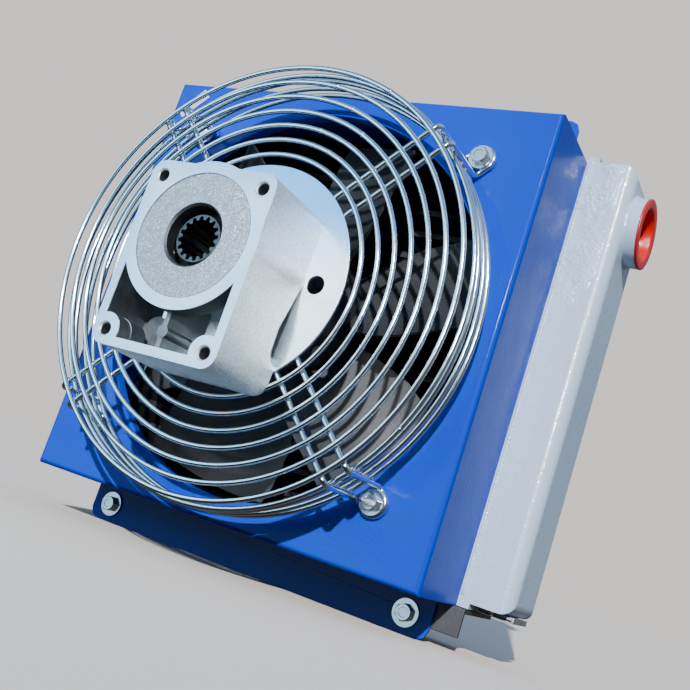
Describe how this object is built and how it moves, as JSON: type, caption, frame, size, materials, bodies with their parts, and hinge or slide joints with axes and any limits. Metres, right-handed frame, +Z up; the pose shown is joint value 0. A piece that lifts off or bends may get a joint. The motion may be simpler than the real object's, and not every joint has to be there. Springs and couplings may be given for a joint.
{
  "type": "hydraulic oil cooler",
  "caption": "Air-blast oil cooler: finned core between welded end tanks with plugged threaded ports, square fan shroud, domed wire guard and a cast hydraulic-motor bracket with bearings",
  "frame": {"origin": "centre of the motor pilot bore, on the face that the motor flange bolts to", "axes": "+Z up, +Y along the fan axis from the motor side to the core, +X to the right seen from the motor side"},
  "size_m": [0.3884, 0.2277, 0.353],
  "materials": {
    "blue_paint": "satin blue powder coat",
    "tank_paint": "light grey paint over welded aluminium",
    "core_black": "matt black",
    "bracket_grey": "dark grey paint",
    "foot_steel": "raw metal",
    "plug_red": "soft red transit plug",
    "guard_wire": "bright zinc",
    "guard_disc": "zinc-plated sheet",
    "fastener": "bright zinc",
    "cast_alu": "pressure die cast, fine shot finish",
    "bearing_steel": "ground",
    "circlip_black": "phosphated spring steel",
    "sleeve_steel": "oiled machined steel",
    "fan_plastic": "black glass-filled nylon",
    "label_film": "blank white vinyl"
  },
  "bodies": {
    "cooler": {"shroud": "blue_paint", "core_tubes": "core_black", "core_fins": "core_black", "core_side_plates": "core_black", "header_plates": "tank_paint", "tank_left": "tank_paint", "tank_right": "tank_paint", "tank_welds": "tank_paint", "port_boss_left": "tank_paint", "port_boss_right": "tank_paint", "core_bracket_lower": "bracket_grey", "core_bracket_upper": "bracket_grey", "tank_feet": "foot_steel", "shroud_bolts": "fastener", "shroud_washers": "fastener", "shroud_nuts": "fastener", "guard_disc": "guard_disc", "guard_spokes": "guard_wire", "guard_face_rings": "guard_wire", "guard_rim_rings": "guard_wire", "guard_bolts": "fastener", "guard_washers": "fastener", "guard_nuts": "fastener", "blank_label": "label_film", "motor_bracket": "cast_alu", "bracket_bolts": "fastener", "bracket_washers": "fastener", "bearing_outer_rings": "bearing_steel", "bearing_balls": "bearing_steel", "bearing_spacer": "bearing_steel", "bearing_circlip": "circlip_black"},
    "fan": {"drive_sleeve": "sleeve_steel", "bearing_inner_rings": "bearing_steel", "sleeve_circlip": "circlip_black", "fan_key": "sleeve_steel", "fan_hub": "fan_plastic", "fan_blades": "fan_plastic", "fan_washer": "fastener", "fan_bolt": "fastener"},
    "plug_right": {"port_plug_right": "plug_red"},
    "plug_left": {"port_plug_left": "plug_red"}
  },
  "joints": [
    {"name": "fan_spin", "type": "hinge", "parent": "cooler", "child": "fan", "pos_m": [0, 0.08, 0], "axis": [0, 1, 0], "continuous": true},
    {"name": "port_plug_right_pull", "type": "slide", "parent": "cooler", "child": "plug_right", "axis": [1, 0, 0], "range_m": [0, 0.03]},
    {"name": "port_plug_left_pull", "type": "slide", "parent": "cooler", "child": "plug_left", "axis": [-1, 0, 0], "range_m": [0, 0.03]}
  ]
}
